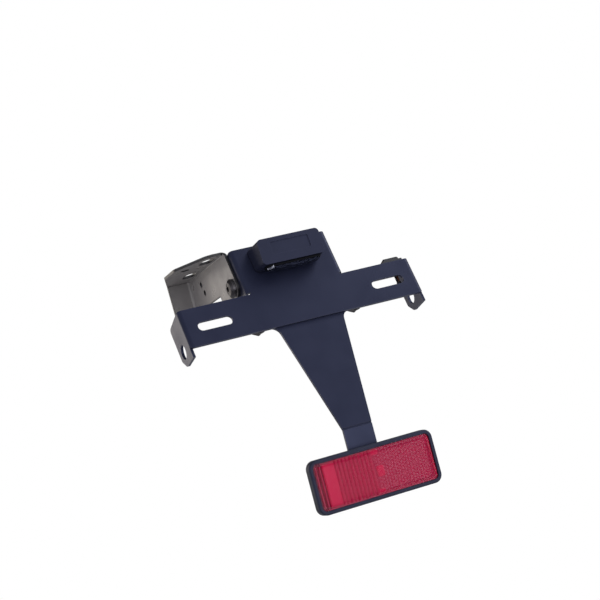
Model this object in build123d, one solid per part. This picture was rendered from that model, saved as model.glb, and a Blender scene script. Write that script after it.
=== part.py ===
"""Motorbike tail tidy: a folded plate carrier with lamp, reflector arm and two mount brackets.

Row frame: +X to the right as seen from behind the motorbike, +Y forwards (away from the viewer),
+Z up. The mount roofs are level. The origin is the centre of the plate bar's rear face.
Pieces on the plate carrier are drawn in the plate frame, whose bar stands upright, and are then
leaned forwards by plate_lean about the X axis. Units are millimetres.
"""
import os
from math import cos, pi, radians, sin, tan

from build123d import *

# Sheet metal
sheet = 2.0
fold_inside = 1.0
fold_outside = fold_inside + sheet
plate_lean = 18.0
fit_gap = 0.2

# Plate bar with its two slots
bar_width = 184.0
bar_height = 29.6
slot_spacing = 137.0
slot_below = 0.6
slot_length = 26.0
slot_width = 7.0

# Indicator ears folded forwards from the ends of the bar
ear_depth = 27.5
ear_drop = 6.6
ear_toe_rise = 3.0
ear_toe_back = 6.0
ear_heel_rise = 10.1
ear_rounding = 3.0
bar_corner = 3.0
ear_hole_diameter = 10.5
ear_hole_forward = 17.5
ear_hole_below = 8.7

# Upper panel with its two side flanges
panel_width = 76.5
panel_top = 52.0
panel_neck_rise = 1.4
neck_fillet = 1.0
flange_depth = 22.0
flange_corner = 5.0

# Reflector arm behind the bar, bent near its foot
arm_head_width = 92.0
arm_head_top = 9.0
arm_head_below = 13.5
arm_shoulder_width = 52.0
arm_bend_below = 100.5
arm_foot_width = 22.4
arm_tab_length = 44.0
arm_tab_bend = 22.0
arm_bend_inside = 1.0
arm_score_width = 1.4
arm_shoulder_fillet = 7.0
arm_corner = 4.0
arm_stud_spacing = 76.0
arm_stud_below = 8.0

# Mount brackets bolted to the panel's flanges: the left one outside, the right one inside
wall_front = 5.5
wall_bottom = 24.5
roof_top = 51.8
bracket_end = 115.0
end_flange_reach = 17.3
end_fold_inside = 2.0
roof_front = 26.0
roof_front_reach = 11.0
roof_full_reach = 29.0
roof_swell_start = 54.0
roof_swell_end = 80.0
roof_rounding = 9.0
short_wall_top = 43.0
short_roof_front = 72.0
short_roof_reach = 22.0
short_roof_end = 98.0
mount_slot_offset = 7.0
mount_slot_width = 9.0
mount_slot_length = 17.0
mount_front_place = 42.5
mount_rear_place = 86.5
tie_hole_diameter = 6.5
tie_hole_offset = 18.9
tie_hole_place = 59.0
wall_hole_diameter = 4.0
wall_hole_places = ((86.5, 41.3), (83.3, 34.2))
pivot_forward = 13.5
pivot_above = 29.2
lug_back = 53.0
lug_back_low = 18.0
lug_back_slope = 1.5

# Fasteners by thread size
m6 = 6.0
m4 = 4.0
hole_slack = 0.5
nut_flats = 10.0
nut_height = 5.0
nut_crown = 0.4
m6_washer = 13.0
m4_washer = 9.0
washer_thick = 1.2
button_diameter = 14.0
button_height = 3.2
button_flange = 1.1
button_shoulder = 0.75
socket_flats = 4.0
socket_depth = 1.8
thread_past_nut = 2.0
thread_end = 0.6

# Plate lamp on the panel, tipped down towards the plate
lamp_root = 30.0
lamp_tilt = 12.0
lamp_back_width = 51.0
lamp_front_width = 48.5
lamp_height = 19.0
lamp_reach = 16.8
lamp_tail = 6.0
lamp_wall = 1.5
lamp_corner = 3.0
lamp_field_width = 30.0
lamp_field_height = 9.5
lamp_field_above = 11.0
lamp_field_sink = 0.5
lamp_field_corner = 1.5
gasket_thick = 1.0
gasket_width = 2.4
gasket_inset = 0.3
lamp_base_thick = 2.4
window_width = 41.4
window_front = 14.4
window_back = 6.2
window_corner = 3.0
lens_bow = 1.4
lens_drop = 2.4
lens_wall = 1.4
lens_flange = 1.2
lens_flange_reach = 0.7
shelf_above = 11.6
shelf_thick = 1.6
shelf_front = 14.6
board_width = 38.0
board_depth = 5.0
board_thick = 1.4
led_side = 3.4
led_thick = 1.4
led_spacing = 12.0
led_count = 3
lamp_screw_spacing = 34.0
lamp_screw_above = 37.0
lamp_boss_diameter = 7.0
lamp_boss_length = 4.0
screw_head_diameter = 8.0
screw_head_height = 2.6
screw_head_edge = 0.8
screw_bite = 3.4

# Lamp lead, grommet and plug behind the bar
lead_diameter = 3.4
grommet_hole = 9.0
grommet_flange = 12.0
grommet_lip = 0.8
lead_above = 39.6
core_diameter = 1.4
core_spacing = 1.5
core_length = 8.6
lead_inside = 2.0
plug_width = 13.0
plug_depth = 8.0
plug_height = 10.8
plug_inset = 11.5
plug_bottom = 9.0
plug_edge = 0.8
plug_latch_width = 5.0
plug_latch_thick = 1.5
plug_latch_height = 7.0
saddle_base = 1.2
saddle_wall = 1.2
saddle_above = 10.5
saddle_height = 6.5
lead_bend_diameters = 2.0
lead_behind = 9.0
lead_slack_across = 30.0
lead_slack_above = 12.0
lead_low_run = 22.5
lead_low_above = -6.6

# Reflector at the arm's foot
reflector_width = 94.7
reflector_height = 37.7
reflector_depth = 6.5
reflector_corner = 6.0
reflector_rim = 2.6
reflector_edge = 0.9
reflector_floor = 1.8
reflector_ledge = 2.4
reflector_centre_down = 33.2
reflector_boss_width = 30.0
reflector_boss_height = 17.0
reflector_boss_depth = 5.3
lens_seat = 3.2
lens_plate_thick = 2.2
lens_block_inset = 2.4
lens_block_rise = 2.6
lens_block_side = 3.2
lens_block_top = 1.0
lens_least_corner = 2.0
reflector_stud_head = 12.0
reflector_stud_head_thick = 1.2

# Sizes that follow from the ones above
bar_half = bar_width / 2
panel_half = panel_width / 2
panel_neck_half = panel_half - fold_outside
bar_top = bar_height / 2
wall_outer = panel_half + sheet
pivot_lug_radius = pivot_forward - wall_front
plug_centre = bar_half - plug_inset
washer_diameter = {m6: m6_washer, m4: m4_washer}
reflector_front = reflector_boss_depth + reflector_depth
roof_under = roof_top - sheet
big = 400.0
near = 1e-3
base_low = (Align.CENTER, Align.CENTER, Align.MIN)


def leaned(shape):
    """Turn a piece from the plate frame into the row frame."""
    return Rot(X=-plate_lean) * shape


def on_tab(shape):
    """Place a piece drawn about the arm's bend, upright on its tab, into the row frame."""
    return leaned(Pos(0, sheet, -arm_bend_below) * Rot(X=arm_tab_bend) * shape)


def to_row(forward, above):
    """Give the row frame's Y and Z of a point that is named in the plate frame."""
    lean = radians(plate_lean)
    return forward * cos(lean) + above * sin(lean), above * cos(lean) - forward * sin(lean)


def folded_section(points, outside, thick):
    """Outline of a folded sheet: a polyline with round folds, thickened to its left."""
    with BuildSketch() as section:
        with BuildLine():
            FilletPolyline(*points, radius=outside)
            offset(amount=thick, side=Side.LEFT)
        make_face()
    return section.sketch


def prism_x(sketch, half):
    """Prism along X, both ways, of a sketch drawn in Y and Z."""
    return extrude(Plane.YZ * sketch, half, both=True)


def prism_y(sketch, half):
    """Prism along Y, both ways, of a sketch drawn in X and Z."""
    return extrude(Plane.XZ * sketch, half, both=True)


def outline(points, rounding=0.0, corners=()):
    """Closed outline through the points, with the numbered corners rounded."""
    face = make_face(Polyline(*points, close=True))
    if rounding:
        chosen = [v for v in face.vertices() for n in corners
                  if abs(v.X - points[n][0]) < near and abs(v.Y - points[n][1]) < near]
        face = fillet(chosen, rounding)
    return face


def rod_x(diameter, start, end, forward, above):
    """Round bar along X between two stations."""
    return Pos(start, forward, above) * Rot(Y=90) * Cylinder(
        diameter / 2, end - start, align=base_low)


def rod_y(diameter, start, end, across, above):
    """Round bar along Y between two stations."""
    return Pos(across, start, above) * Rot(X=-90) * Cylinder(
        diameter / 2, end - start, align=base_low)


def washer(thread):
    """Flat washer that lies on the plane Z = 0."""
    ring = Circle(washer_diameter[thread] / 2) - Circle((thread + hole_slack) / 2)
    return extrude(ring, washer_thick)


def hex_nut(thread):
    """Hexagon nut that lies on the plane Z = 0, its top corners turned off."""
    corner = nut_flats / 2 / cos(pi / 6)
    blank = extrude(RegularPolygon(corner, 6) - Circle((thread + fit_gap) / 2), nut_height)
    turned = Cone(corner + nut_height, corner - nut_crown, nut_height, align=base_low)
    return blank & turned


def button_bolt(thread, grip):
    """Flanged button bolt: head on Z above 0, shank of the given grip below."""
    radius = button_diameter / 2
    crown = button_height - button_flange
    flat = socket_flats / 2 / cos(pi / 6)
    shoulder = ((radius + flat) / 2, button_flange + button_shoulder * crown)
    profile = Plane.XZ * outline(((0, 0), (radius, 0), (radius, button_flange), shoulder,
                                  (flat, button_height), (0, button_height)))
    head = revolve(profile, Axis.Z)
    socket = Pos(0, 0, button_height - socket_depth) * extrude(RegularPolygon(flat, 6), socket_depth)
    shank = Cylinder(thread / 2, grip, align=(Align.CENTER, Align.CENTER, Align.MAX))
    return head - socket + shank


def plate_carrier():
    """One folded sheet: slotted bar, ears at its ends, upper panel and flanges at its sides."""
    lip_low = -bar_top - ear_drop
    bar_path = ((-bar_half, ear_depth), (-bar_half, 0), (bar_half, 0), (bar_half, ear_depth))
    bar = Pos(0, 0, lip_low) * extrude(folded_section(bar_path, fold_outside, sheet), bar_height + ear_drop)
    side = ((-sheet, bar_top), (ear_depth, bar_top), (ear_depth, lip_low + ear_heel_rise),
            (ear_depth - ear_toe_back, lip_low + ear_toe_rise), (-sheet, lip_low))
    bar &= prism_x(outline(side, ear_rounding, (1, 2, 3)), bar_half + sheet)
    below = Pos(0, fold_outside - big / 2, -bar_top - big / 2) * Box(big, big, big)
    corner = Rectangle(2 * bar_corner, 2 * bar_corner) - Pos(-bar_corner, bar_corner) * Circle(bar_corner)
    corner = prism_y(Pos(bar_half, -bar_top) * corner, fold_outside)
    bar = bar - below - corner - mirror(corner, about=Plane.YZ)

    flange_foot = bar_top + panel_neck_rise
    panel_path = ((-panel_half, flange_depth), (-panel_half, 0), (panel_half, 0), (panel_half, flange_depth))
    panel = Pos(0, 0, flange_foot) * extrude(
        folded_section(panel_path, fold_outside, sheet), panel_top - flange_foot)
    flange_side = ((-sheet, panel_top), (flange_depth, panel_top), (flange_depth, flange_foot),
                   (-sheet, flange_foot))
    panel &= prism_x(outline(flange_side, flange_corner, (1, 2)), big)
    web = Pos(0, sheet / 2, bar_top) * Box(2 * panel_neck_half, sheet, 2 * panel_neck_rise)
    body = bar + panel + web
    waist = [e for e in body.edges().filter_by(Axis.Y)
             if abs(e.center().Z - bar_top) < near and abs(abs(e.center().X) - panel_neck_half) < near]
    body = fillet(waist, neck_fillet)

    slot = prism_y(SlotOverall(slot_length, slot_width), 2 * sheet)
    slots = [Pos(s * slot_spacing / 2, 0, -slot_below) * slot for s in (-1, 1)]
    ear_holes = rod_x(ear_hole_diameter, -big, big, ear_hole_forward, -ear_hole_below)
    pivots = rod_x(m6 + hole_slack, -big, big, pivot_forward, pivot_above)
    lead_hole = rod_y(grommet_hole, -sheet, 2 * sheet, 0, lead_above)
    screw_holes = [rod_y(m4 + hole_slack, -sheet, 2 * sheet, s * lamp_screw_spacing / 2, lamp_screw_above)
                   for s in (-1, 1)]
    body -= slots + [ear_holes, pivots, lead_hole] + screw_holes
    return leaned(body)


def reflector_arm():
    """Tapered sheet behind the bar, its head wide for two studs and its foot bent at a score line."""
    bend = radians(arm_tab_bend)
    tip = (sheet + arm_tab_length * sin(bend), -arm_bend_below - arm_tab_length * cos(bend))
    path = ((sheet, arm_head_top), (sheet, -arm_bend_below), tip)
    slab = prism_x(folded_section(path, arm_bend_inside + sheet, sheet), arm_head_width)
    head = arm_head_width / 2
    shoulder = arm_shoulder_width / 2
    foot = arm_foot_width / 2
    low = tip[1] - sheet
    right = ((head, arm_head_top), (head, -arm_head_below), (shoulder, -arm_head_below),
             (foot, -arm_bend_below), (foot, low))
    left = tuple((-x, z) for x, z in reversed(right))
    shape = outline(right + left)
    corners = [v for v in shape.vertices() if abs(v.X) > head - near or v.Y < low + near]
    shape = fillet(corners, arm_corner)
    waist = [v for v in shape.vertices() if abs(abs(v.X) - shoulder) < near]
    shape = fillet(waist, arm_shoulder_fillet)
    arm = slab & prism_y(shape, big / 2)
    studs = [rod_y(m6 + hole_slack, 0, 3 * sheet, s * arm_stud_spacing / 2, -arm_stud_below) for s in (-1, 1)]
    score = rod_x(arm_score_width, -big, big, sheet, -arm_bend_below)
    arm = leaned(arm - studs - [score])
    return arm - on_tab(rod_y(m6 + hole_slack, -sheet, 2 * sheet, 0, -reflector_centre_down))


def bracket_side(roof_start, wall_top):
    """Side outline of a mount bracket in the row frame's Y and Z: wall, pivot lug and roof edge."""
    pivot = to_row(pivot_forward, pivot_above)
    front_low = to_row(wall_front, pivot_above)
    wall_end = bracket_end - end_fold_inside - sheet
    fold_low = roof_top - fold_outside
    rise = (wall_top - front_low[1]) * tan(radians(plate_lean))
    step = fold_low - wall_top
    points = ((roof_start, roof_top), (bracket_end, roof_top), (bracket_end, roof_under),
              (wall_end, roof_under), (wall_end, wall_bottom), (lug_back, wall_bottom),
              (lug_back - lug_back_slope, lug_back_low), (pivot[0], pivot[1] - pivot_lug_radius), pivot,
              front_low, (front_low[0] + rise, wall_top))
    points += ((roof_start - step, wall_top), (roof_start, fold_low)) if step else ()
    return outline(points) + Pos(*pivot) * Circle(pivot_lug_radius)


def mount_bracket(inner, side, roof_points, rounded, holes):
    """Left-hand mount bracket at an inner wall face: wall, roof folded outwards and end flange."""
    roof_path = ((-inner, 0), (-inner, roof_top), (-inner - big / 4, roof_top))
    section = folded_section(roof_path, fold_outside, sheet)
    plan = outline(roof_points, roof_rounding, rounded)
    plan += Pos(-inner - sheet / 2, bracket_end / 2) * Rectangle(sheet, bracket_end)
    body = prism_y(section, big) & extrude(plan, big) & prism_x(side, big)
    end_tip = -inner - sheet - end_flange_reach
    end_path = ((-inner, bracket_end / 2), (-inner, bracket_end), (end_tip, bracket_end))
    end = folded_section(end_path, end_fold_inside + sheet, sheet)
    body += Pos(0, 0, wall_bottom) * extrude(end, roof_under - wall_bottom)
    drills = [(wall_hole_diameter, y, z) for y, z in wall_hole_places]
    drills.append((m6 + hole_slack, *to_row(pivot_forward, pivot_above)))
    return body - holes - [rod_x(d, -inner - 2 * sheet, -inner + sheet, y, z) for d, y, z in drills]


def left_mount_bracket():
    """Bracket outside the left flange, with the long roof that swells between its two slots."""
    outer = -wall_outer - roof_full_reach
    roof = ((-panel_half, roof_front), (-wall_outer - roof_front_reach, roof_front), (outer, roof_swell_start),
            (outer, roof_swell_end), (-wall_outer - end_flange_reach, bracket_end), (-panel_half, bracket_end))
    slot = extrude(Rot(Z=90) * SlotOverall(mount_slot_length, mount_slot_width), 2 * sheet, both=True)
    row = -wall_outer - mount_slot_offset
    holes = [Pos(row, y, roof_under) * slot for y in (mount_front_place, mount_rear_place)]
    holes.append(Pos(-wall_outer - tie_hole_offset, tie_hole_place, roof_under) * Cylinder(
        tie_hole_diameter / 2, 4 * sheet))
    return mount_bracket(panel_half, bracket_side(roof_front, roof_top - fold_outside), roof, (1, 2, 3), holes)


def right_mount_bracket():
    """Bracket inside the right flange, with a short roof at its front end and one round hole."""
    inner = panel_half - 2 * sheet
    wall = inner + sheet
    outer = -wall - short_roof_reach
    roof = ((-inner, short_roof_front), (outer, short_roof_front), (outer, short_roof_end),
            (-wall - end_flange_reach, bracket_end), (-inner, bracket_end))
    row = -wall - mount_slot_offset
    hole = Pos(row, mount_rear_place, roof_under) * Cylinder(mount_slot_width / 2, 4 * sheet)
    side = bracket_side(short_roof_front, short_wall_top)
    return mirror(mount_bracket(inner, side, roof, (1, 2), [hole]), about=Plane.YZ)


def at_pivot(piece, station, hand):
    """Piece drawn on Z = 0, standing outwards on the left (-1) or right (1) at a distance from the middle."""
    forward, above = to_row(pivot_forward, pivot_above)
    return Pos(hand * station, forward, above) * Rot(Y=hand * 90) * piece


def bracket_bolts():
    """Flanged button bolts that clamp the brackets to the panel's flanges."""
    grip = 2 * sheet + washer_thick + nut_height + thread_past_nut
    return [at_pivot(button_bolt(m6, grip + washer_thick), wall_outer + washer_thick, -1),
            at_pivot(button_bolt(m6, grip), panel_half, 1)]


def bracket_washers():
    """Washers under the left bolt's head and under both nuts."""
    return [at_pivot(washer(m6), wall_outer, -1),
            at_pivot(washer(m6), panel_half - sheet - washer_thick, -1),
            at_pivot(washer(m6), panel_half - 2 * sheet - washer_thick, 1)]


def bracket_nuts():
    """Nuts on the inner ends of the bracket bolts."""
    nut = Rot(X=180) * hex_nut(m6)
    return [at_pivot(nut, panel_half - sheet - washer_thick, -1),
            at_pivot(nut, panel_half - 2 * sheet - washer_thick, 1)]


def behind_bar(piece, station):
    """Both copies of a piece drawn on Z = 0, standing forwards from a station behind the bar."""
    places = (-arm_stud_spacing / 2, arm_stud_spacing / 2)
    return [leaned(Pos(x, station, -arm_stud_below) * Rot(X=-90) * piece) for x in places]


def arm_studs():
    """Weld studs on the bar's hidden face."""
    length = sheet + washer_thick + nut_height + thread_past_nut
    stud = Cylinder(m6 / 2, length, align=base_low)
    return behind_bar(chamfer(stud.edges().sort_by(Axis.Z)[-1], thread_end), sheet)


def arm_washers():
    """Washers on the arm's head."""
    return behind_bar(washer(m6), 2 * sheet)


def arm_nuts():
    """Nuts on the arm's studs, a corner of each turned down."""
    return behind_bar(Rot(Z=30) * hex_nut(m6), 2 * sheet + washer_thick)


def facing(reach):
    """Drawing plane that faces the viewer at a reach behind the local origin."""
    return Plane(origin=(0, -reach, 0), x_dir=(1, 0, 0), z_dir=(0, -1, 0))


def tipped(shape):
    """Turn a lamp piece from the lamp's own upright frame into the plate frame."""
    return Pos(0, 0, lamp_root) * Rot(X=lamp_tilt) * shape


def panel_slab(start, end):
    """Layer of space in front of the panel between two distances from its face."""
    return Pos(0, -(start + end) / 2, 0) * Box(big, end - start, big)


def lamp_block(inset, front):
    """Lamp's outer solid in the plate frame, drawn in by an inset and run on through the panel."""
    taper = (lamp_back_width - lamp_front_width) / 2 / lamp_reach
    back = lamp_back_width / 2 + taper * lamp_tail - inset
    ahead = lamp_back_width / 2 - taper * front - inset
    plan = outline(((-back, lamp_tail), (-ahead, -front), (ahead, -front), (back, lamp_tail)))
    block = Pos(0, 0, inset) * extrude(plan, lamp_height - 2 * inset, dir=(0, 0, 1))
    if inset < lamp_wall:
        along = [e for e in block.edges() if abs(e.tangent_at(0.5).Y) > 0.9]
        block = fillet(along, lamp_corner - inset)
    return tipped(block)


def window_plan(grow):
    """Plan of the lamp's underside window, grown all round."""
    depth = window_front - window_back
    middle = -(window_front + window_back) / 2
    return Pos(0, middle) * RectangleRounded(window_width + 2 * grow, depth + 2 * grow, window_corner + grow)


def lamp_housing():
    """Moulded hood: tapered box open to the panel, with a window below and a bare sunk field in front."""
    hood = lamp_block(0, lamp_reach) & panel_slab(gasket_thick, big / 4)
    hood -= lamp_block(lamp_wall, lamp_reach - lamp_wall)
    window = extrude(window_plan(fit_gap), 2 * lamp_wall, both=True)
    field = facing(lamp_reach - lamp_field_sink) * Pos(0, lamp_field_above) * RectangleRounded(
        lamp_field_width, lamp_field_height, lamp_field_corner)
    return leaned(hood - tipped(window) - tipped(extrude(field, sheet)))


def lamp_base():
    """Back plate inside the hood, with screw bosses and the shelf that carries the board."""
    inside = lamp_block(lamp_wall + fit_gap, lamp_reach - lamp_wall - fit_gap)
    back = gasket_thick + lamp_base_thick
    shelf = Pos(0, -shelf_front / 2, shelf_above + shelf_thick / 2) * Box(board_width, shelf_front, shelf_thick)
    places = (-lamp_screw_spacing / 2, lamp_screw_spacing / 2)
    bosses = [rod_y(lamp_boss_diameter, -back - lamp_boss_length, -back, x, lamp_screw_above) for x in places]
    drills = [rod_y(m4 + fit_gap, -back - screw_bite - fit_gap, 0, x, lamp_screw_above) for x in places]
    lead_hole = rod_y(lead_diameter + 2 * fit_gap, -big / 4, 0, 0, lead_above)
    body = inside & panel_slab(gasket_thick, back)
    body += tipped(shelf) & panel_slab(gasket_thick, big / 4) & inside
    return leaned(body + bosses - drills - lead_hole)


def lamp_gasket():
    """Foam frame between the hood and the panel."""
    ring = lamp_block(gasket_inset, lamp_reach) - lamp_block(gasket_width, lamp_reach)
    return leaned(ring & panel_slab(0, gasket_thick))


def lens_bulge(wall):
    """Bowed lens solid without its flange, thinned by a wall."""
    half = window_width / 2
    edge = wall - lens_drop
    top = lamp_wall + lens_flange
    with BuildSketch(Plane.XZ) as bow:
        with BuildLine():
            ThreePointArc((-half, edge), (0, edge - lens_bow), (half, edge))
            Polyline((half, edge), (half, top), (-half, top), (-half, edge))
        make_face()
    return extrude(bow.sketch, big / 4, both=True) & extrude(window_plan(-wall), big / 4, both=True)


def lamp_lens():
    """Clear bowed lens in the lamp's underside, held by its flange inside the hood."""
    rim = window_plan(lens_flange_reach) - window_plan(-lens_wall)
    flange = Pos(0, 0, lamp_wall) * extrude(rim, lens_flange)
    return leaned(tipped(lens_bulge(0) - lens_bulge(lens_wall) + flange))


def lamp_board():
    """Circuit board under the shelf."""
    return leaned(tipped(Pos(0, -shelf_front + board_depth / 2, shelf_above - board_thick / 2) * Box(
        board_width, board_depth, board_thick)))


def lamp_leds():
    """Row of light-emitting diodes under the board."""
    above = shelf_above - board_thick - led_thick / 2
    across = [(n - (led_count - 1) / 2) * led_spacing for n in range(led_count)]
    diode = Box(led_side, led_side, led_thick)
    return [leaned(tipped(Pos(x, -shelf_front + board_depth / 2, above) * diode)) for x in across]


def lamp_screws():
    """Pan screws through the panel into the lamp's bosses."""
    bite = gasket_thick + lamp_base_thick + screw_bite
    seat = sheet + washer_thick
    screws = []
    for x in (-lamp_screw_spacing / 2, lamp_screw_spacing / 2):
        head = rod_y(screw_head_diameter, seat, seat + screw_head_height, x, lamp_screw_above)
        head = chamfer(head.edges().filter_by(GeomType.CIRCLE).sort_by(Axis.Y)[-1], screw_head_edge)
        shank = rod_y(m4, -bite, seat, x, lamp_screw_above)
        screws.append(leaned(head + shank))
    return screws


def lamp_washers():
    """Washers under the lamp's screw heads."""
    return [leaned(Pos(s * lamp_screw_spacing / 2, sheet, lamp_screw_above) * Rot(X=-90) * washer(m4))
            for s in (-1, 1)]


def lead_grommet():
    """Rubber ring in the panel's lead hole, with a groove for the sheet."""
    body = rod_y(grommet_hole - fit_gap, -grommet_lip, sheet + grommet_lip, 0, lead_above)
    body += rod_y(grommet_flange, -grommet_lip, 0, 0, lead_above)
    body += rod_y(grommet_flange, sheet, sheet + grommet_lip, 0, lead_above)
    return leaned(body - rod_y(lead_diameter + fit_gap, -big, big, 0, lead_above))


def plug_middle():
    """Distance of the plug's middle behind the panel's rear face."""
    return sheet + saddle_base + fit_gap + plug_depth / 2


def lamp_lead():
    """Jacketed lead from the lamp, through the grommet, along the back of the bar to below the plug."""
    start = (0, -gasket_thick - lamp_base_thick - lead_inside, lead_above)
    along = plug_middle()
    route = FilletPolyline(
        start, (0, lead_behind, lead_above), (lead_slack_across, lead_behind, lead_slack_above),
        (plug_centre - lead_low_run, along, lead_low_above), (plug_centre, along, lead_low_above),
        (plug_centre, along, plug_bottom - core_length), radius=lead_bend_diameters * lead_diameter)
    tube = sweep(Plane(origin=start, z_dir=(0, 1, 0)) * Circle(lead_diameter / 2), route)
    return leaned(tube)


def lead_cores():
    """Two insulated cores from the jacket's end up to the plug."""
    low = plug_bottom - core_length
    return [leaned(Pos(plug_centre + s * core_spacing / 2, plug_middle(), low) * Cylinder(
        core_diameter / 2, core_length, align=base_low)) for s in (-1, 1)]


def lead_plug():
    """Two-way plug with a latch tongue on its forward side."""
    middle = plug_bottom + plug_height / 2
    block = Pos(plug_centre, plug_middle(), middle) * Box(plug_width, plug_depth, plug_height)
    block = chamfer(block.edges(), plug_edge)
    latch = Pos(plug_centre, plug_middle() + plug_depth / 2, middle) * Box(
        plug_latch_width, 2 * plug_latch_thick, plug_latch_height)
    return leaned(block + latch)


def plug_saddle():
    """Clip with a stuck-on base that grips the plug's sides."""
    wide = plug_width + 2 * fit_gap + 2 * saddle_wall
    deep = plug_middle() + plug_depth / 4 - sheet
    low = saddle_above
    block = Pos(plug_centre, sheet + deep / 2, low + saddle_height / 2) * Box(wide, deep, saddle_height)
    pocket = Pos(plug_centre, sheet + saddle_base + big / 2, low) * Box(plug_width + 2 * fit_gap, big, big)
    return leaned(block - pocket)


def reflector_outline(side, top):
    """Rounded outline of the reflector, drawn in at its sides and at its top and bottom."""
    corner = max(reflector_corner - side, lens_least_corner)
    return Pos(0, -reflector_centre_down) * RectangleRounded(
        reflector_width - 2 * side, reflector_height - 2 * top, corner)


def reflector_layer(inset, start, end):
    """Slab of the reflector's outline between two distances from the tab."""
    return extrude(facing(start) * reflector_outline(inset, inset), end - start)


def reflector_frame():
    """Moulded tray on a rear boss, with a ledge for the lens and a hole for the stud."""
    tray = reflector_layer(0, reflector_boss_depth, reflector_front)
    tray = chamfer(tray.edges().group_by(Axis.Y)[0], reflector_edge)
    boss = facing(0) * Pos(0, -reflector_centre_down) * RectangleRounded(
        reflector_boss_width, reflector_boss_height, reflector_corner)
    tray += extrude(boss, reflector_boss_depth + reflector_floor)
    tray -= reflector_layer(reflector_rim, reflector_boss_depth + lens_seat, 2 * reflector_front)
    floor = reflector_boss_depth + reflector_floor
    tray -= reflector_layer(reflector_rim + reflector_ledge, floor, reflector_front)
    return on_tab(tray - rod_y(m6 + fit_gap, -big / 4, big / 4, 0, -reflector_centre_down))


def reflector_lens():
    """Red lens: a plate on the tray's ledge with a raised block whose sides slope."""
    seat = reflector_boss_depth + lens_seat
    top = seat + lens_plate_thick
    plate = reflector_layer(reflector_rim + fit_gap, seat, top)
    foot = reflector_rim + lens_block_inset
    foot_face = facing(top) * reflector_outline(foot, foot)
    top_face = facing(top + lens_block_rise) * reflector_outline(foot + lens_block_side, foot + lens_block_top)
    return on_tab(plate + loft([foot_face, top_face], ruled=True))


def reflector_stud():
    """Stud with a flat head inside the tray, through the floor and the tab."""
    length = sheet + washer_thick + nut_height + thread_past_nut
    seat = reflector_boss_depth + reflector_floor
    head = rod_y(reflector_stud_head, -seat - reflector_stud_head_thick, -seat, 0, -reflector_centre_down)
    return on_tab(head + rod_y(m6, -seat - reflector_stud_head_thick / 2, length, 0, -reflector_centre_down))


def reflector_washer():
    """Washer behind the tab."""
    return on_tab(Pos(0, sheet, -reflector_centre_down) * Rot(X=-90) * washer(m6))


def reflector_nut():
    """Nut behind the tab."""
    return on_tab(Pos(0, sheet + washer_thick, -reflector_centre_down) * Rot(X=-90) * hex_nut(m6))


pieces = (
    plate_carrier, reflector_arm, left_mount_bracket, right_mount_bracket,
    bracket_bolts, bracket_washers, bracket_nuts, arm_studs, arm_washers, arm_nuts,
    lamp_housing, lamp_base, lamp_gasket, lamp_lens, lamp_board, lamp_leds, lamp_screws, lamp_washers,
    lead_grommet, lamp_lead, lead_cores, lead_plug, plug_saddle,
    reflector_frame, reflector_lens, reflector_stud, reflector_washer, reflector_nut,
)

os.makedirs("parts", exist_ok=True)
for piece in pieces:
    made = piece()
    whole = Compound(children=made) if isinstance(made, list) else made
    export_step(whole, f"parts/{piece.__name__}.step")
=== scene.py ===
import logging
import math
from dataclasses import dataclass
from enum import Enum
from typing import Any, Iterable, Mapping, Optional

import bmesh
import bpy
from mathutils import Matrix, Quaternion, Vector


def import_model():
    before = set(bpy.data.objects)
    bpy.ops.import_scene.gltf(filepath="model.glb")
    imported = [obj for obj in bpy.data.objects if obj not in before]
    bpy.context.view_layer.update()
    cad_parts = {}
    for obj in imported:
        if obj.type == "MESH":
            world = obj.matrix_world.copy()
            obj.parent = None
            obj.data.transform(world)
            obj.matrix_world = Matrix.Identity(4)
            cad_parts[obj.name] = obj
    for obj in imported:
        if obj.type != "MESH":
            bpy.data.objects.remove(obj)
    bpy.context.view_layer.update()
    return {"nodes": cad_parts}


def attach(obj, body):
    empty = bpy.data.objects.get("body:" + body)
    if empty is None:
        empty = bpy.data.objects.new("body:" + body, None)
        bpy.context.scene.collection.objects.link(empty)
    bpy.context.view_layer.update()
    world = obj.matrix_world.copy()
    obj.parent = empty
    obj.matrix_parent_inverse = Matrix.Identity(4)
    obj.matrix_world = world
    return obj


LOG = logging.getLogger("tail_tidy")
BODY = "root"
MM = 0.001
# Cosines between a face's normal and its rounded normal: no edge colour above the first, all of it below the second.
FLAT_COSINE, SHARP_COSINE = 0.99, 0.8
# Share of the edge colour on the sharpest edges.
EDGE_COVER = 0.8
# A face counts as a sheet's cut edge if its normal leaves the sheet's plane by less than this sine.
CUT_SINE = 0.25

Colour = tuple[float, float, float, float]


def linear(code: str) -> Colour:
    """Turn an sRGB hex colour into linear light.

    Args:
        code: Six hex digits with a leading #.

    Returns:
        Linear red, green and blue with full alpha.
    """
    parts = [int(code[i:i + 2], 16) / 255 for i in (1, 3, 5)]
    red, green, blue = [c / 12.92 if c <= 0.04045 else ((c + 0.055) / 1.055) ** 2.4 for c in parts]
    return red, green, blue, 1.0


def add_node(tree: bpy.types.NodeTree, kind: str, values: Optional[Mapping[Any, Any]] = None,
             links: Optional[Mapping[Any, bpy.types.NodeSocket]] = None, **settings: Any) -> bpy.types.Node:
    """Add a node with its settings, socket values and incoming links.

    Args:
        tree: Node tree that gets the node.
        kind: Blender's identifier of the node type.
        values: Input socket name or number to its constant value.
        links: Input socket name or number to the output socket that feeds it.
        settings: Properties of the node itself.

    Returns:
        The new node.
    """
    node = tree.nodes.new(kind)
    for name, value in settings.items():
        setattr(node, name, value)
    for socket, value in (values or {}).items():
        node.inputs[socket].default_value = value
    for socket, source in (links or {}).items():
        tree.links.new(source, node.inputs[socket])
    return node


class Grain(Enum):
    """How a surface's fine relief is patterned."""

    PEEL = "orange peel of a sprayed coat"
    SPARK = "pits of a spark-eroded mould"
    CRYSTAL = "grains of a plated layer"


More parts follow.
